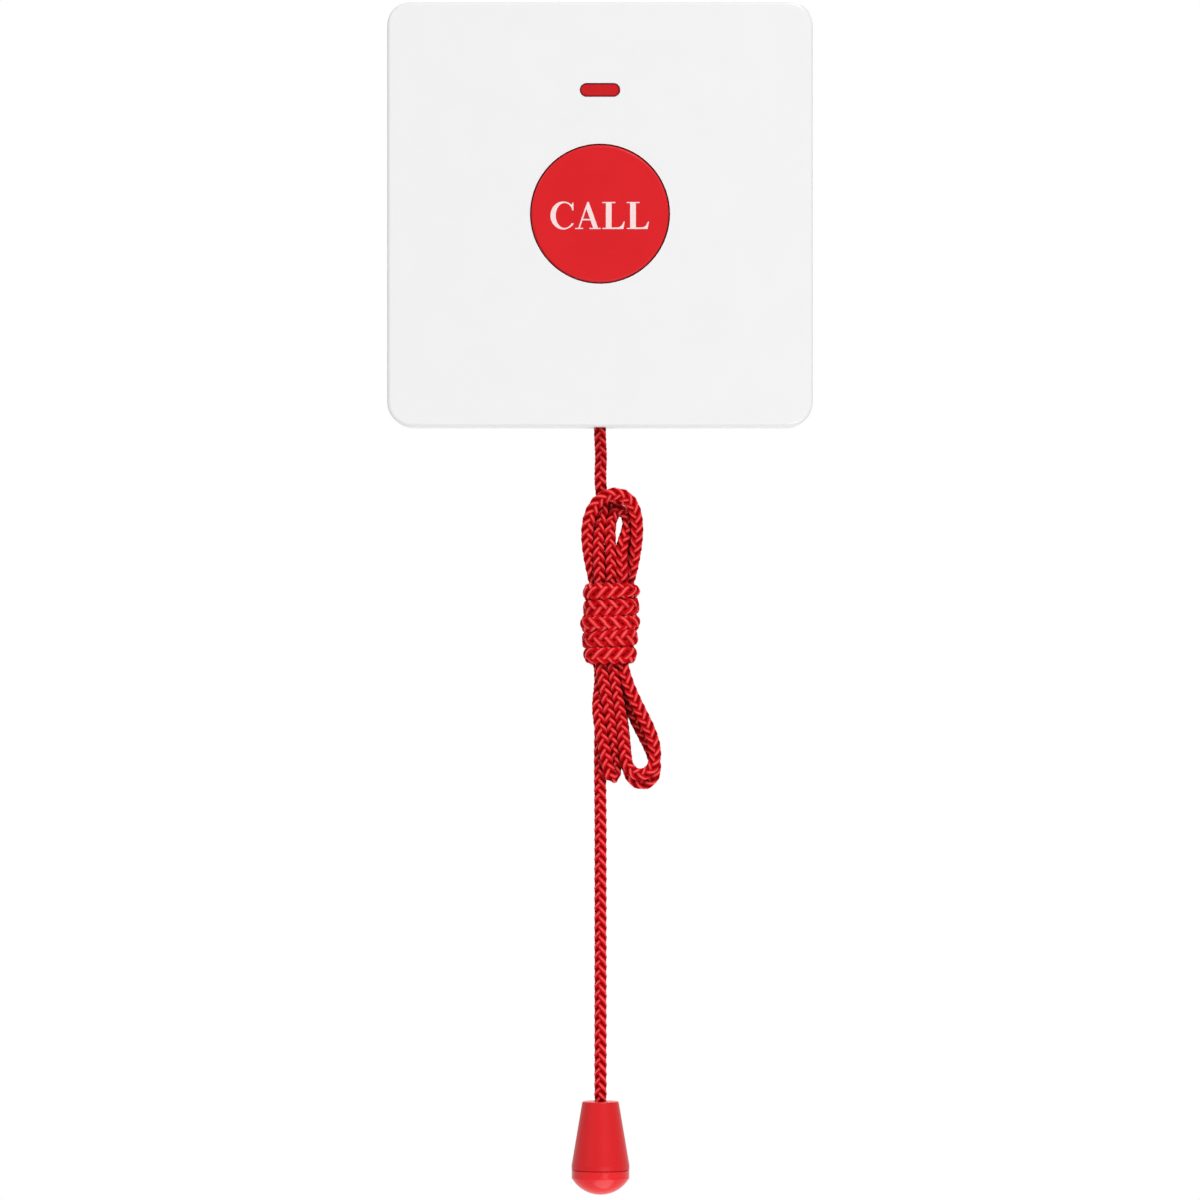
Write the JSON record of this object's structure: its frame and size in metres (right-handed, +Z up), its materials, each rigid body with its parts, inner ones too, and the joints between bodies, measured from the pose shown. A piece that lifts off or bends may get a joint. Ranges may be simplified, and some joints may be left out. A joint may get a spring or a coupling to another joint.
{
  "type": "pull cord switch",
  "caption": "Square wall plate call switch with a round push button, an indicator window and a braided pull cord, tied in a short hank, that ends in a bell-shaped pull.",
  "frame": {"origin": "middle of the plate, on the wall's surface", "axes": "+X to the right as seen by the user, +Y into the wall, +Z up"},
  "size_m": [0.086, 0.0183, 0.2418],
  "materials": {
    "cover_white": "satin moulded ABS",
    "base_white": "moulded ABS",
    "button_red": "satin moulded ABS",
    "lens_red": "translucent diffusing acrylic",
    "natural_plastic": "moulded acetal",
    "steel": "zinc plated",
    "spring_steel": "drawn spring wire",
    "board_green": "epoxy glass with solder mask",
    "black_plastic": "moulded nylon",
    "terminal_green": "moulded nylon",
    "cord_red": "braided polyester",
    "pull_red": "satin moulded ABS",
    "cap_red": "moulded ABS"
  },
  "bodies": {
    "housing": {"front_cover": "cover_white", "rear_base": "base_white", "button_spring": "spring_steel", "button_retainer": "natural_plastic", "retainer_screws": "steel", "indicator_lens": "lens_red", "indicator_led": "lens_red", "circuit_board": "board_green", "board_screws": "steel", "board_parts": "black_plastic", "push_switch_body": "black_plastic", "pull_switch_body": "black_plastic", "terminal_block": "terminal_green", "terminal_screws": "steel", "pull_spring": "spring_steel", "guide_cap": "natural_plastic", "guide_screws": "steel", "cord_bush": "cover_white"},
    "button": {"call_button": "button_red"},
    "push_plunger": {"push_switch_plunger": "black_plastic"},
    "slider": {"pull_slider": "natural_plastic", "top_knot": "cord_red", "inner_cord": "cord_red"},
    "switch_lever": {"pull_switch_lever": "steel"},
    "switch_plunger": {"pull_switch_plunger": "natural_plastic"},
    "bend": {"cord_bend": "cord_red"},
    "cord": {"cord_upper": "cord_red", "cord_hank": "cord_red", "cord_lower": "cord_red", "pull_body": "pull_red", "pull_cap": "cap_red", "pull_knot": "cord_red"}
  },
  "joints": [
    {"name": "button_press", "type": "slide", "parent": "housing", "child": "button", "axis": [0, 1, 0], "range_m": [0, 0.0015], "stiffness_N_per_m": 400, "springref_m": -0.0025, "deforming": ["button_spring"]},
    {"name": "push_plunger_slide", "type": "slide", "parent": "housing", "child": "push_plunger", "axis": [0, 1, 0], "range_m": [0, 0.0015]},
    {"name": "cord_pull", "type": "slide", "parent": "housing", "child": "slider", "axis": [0, 0, -1], "range_m": [0, 0.005], "stiffness_N_per_m": 400, "springref_m": -0.0075, "deforming": ["pull_spring"]},
    {"name": "switch_lever_turn", "type": "hinge", "parent": "housing", "child": "switch_lever", "pos_m": [0.0104, -0.0095, -0.0211], "axis": [0, -1, 0], "range_deg": [0, 5.2]},
    {"name": "switch_plunger_slide", "type": "slide", "parent": "housing", "child": "switch_plunger", "axis": [1, 0, 0], "range_m": [0, 0.00042]},
    {"name": "cord_side_swing", "type": "hinge", "parent": "slider", "child": "bend", "pos_m": [0, -0.008, -0.043], "axis": [0, 1, 0], "range_deg": [-30, 30]},
    {"name": "cord_out_swing", "type": "hinge", "parent": "bend", "child": "cord", "pos_m": [0, -0.008, -0.043], "axis": [-1, 0, 0], "range_deg": [0, 35]}
  ],
  "couplings": [
    {"joint": "push_plunger_slide", "follows": "button_press", "ratio": 1},
    {"joint": "switch_lever_turn", "follows": "cord_pull", "rad_per_m": 17.7},
    {"joint": "switch_plunger_slide", "follows": "cord_pull", "ratio": 0.08}
  ]
}
